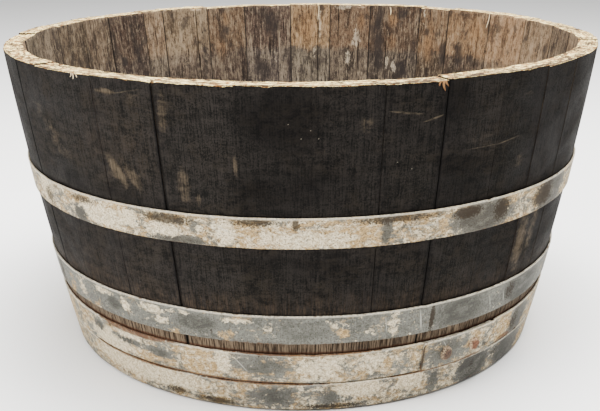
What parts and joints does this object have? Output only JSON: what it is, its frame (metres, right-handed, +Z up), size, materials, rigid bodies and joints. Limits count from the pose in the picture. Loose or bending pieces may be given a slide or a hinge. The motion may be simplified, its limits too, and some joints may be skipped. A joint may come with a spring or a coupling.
{
  "type": "half barrel tub",
  "caption": "Oak wine barrel cut down to an open tub: bevelled staves round a jointed head, held by riveted galvanised hoops.",
  "frame": {"origin": "on the floor, at the middle of the ring of stave ends that the tub stands on", "axes": "+Z up along the barrel's axis, out of the open top; -Y towards the viewer's side, where the collet hoop's lap is a little to the right"},
  "size_m": [0.7196, 0.7198, 0.366],
  "materials": {
    "stave_oak": "dark weathered outside, raw sawn rim, wine-stained and weathered inside",
    "head_oak": "weathered, dull",
    "galvanised_hoop": "weathered galvanising with pale oxide and dirt",
    "rivet_steel": "rusted"
  },
  "bodies": {
    "root": {"bilge_hoop": "galvanised_hoop", "bilge_hoop_rivets": "rivet_steel", "collet_hoop": "galvanised_hoop", "collet_hoop_rivets": "rivet_steel", "head_board_1": "head_oak", "head_board_2": "head_oak", "head_board_3": "head_oak", "head_board_4": "head_oak", "head_board_5": "head_oak", "head_board_6": "head_oak", "head_dowels": "head_oak", "head_hoop": "galvanised_hoop", "head_hoop_rivets": "rivet_steel", "quarter_hoop": "galvanised_hoop", "quarter_hoop_rivets": "rivet_steel", "stave_01": "stave_oak", "stave_02": "stave_oak", "stave_03": "stave_oak", "stave_04": "stave_oak", "stave_05": "stave_oak", "stave_06": "stave_oak", "stave_07": "stave_oak", "stave_08": "stave_oak", "stave_09": "stave_oak", "stave_10": "stave_oak", "stave_11": "stave_oak", "stave_12": "stave_oak", "stave_13": "stave_oak", "stave_14": "stave_oak", "stave_15": "stave_oak", "stave_16": "stave_oak", "stave_17": "stave_oak", "stave_18": "stave_oak", "stave_19": "stave_oak", "stave_20": "stave_oak", "stave_21": "stave_oak", "stave_22": "stave_oak", "stave_23": "stave_oak", "stave_24": "stave_oak", "stave_25": "stave_oak", "stave_26": "stave_oak", "stave_27": "stave_oak", "stave_28": "stave_oak", "stave_29": "stave_oak", "stave_30": "stave_oak", "stave_31": "stave_oak", "stave_32": "stave_oak"}
  },
  "joints": []
}
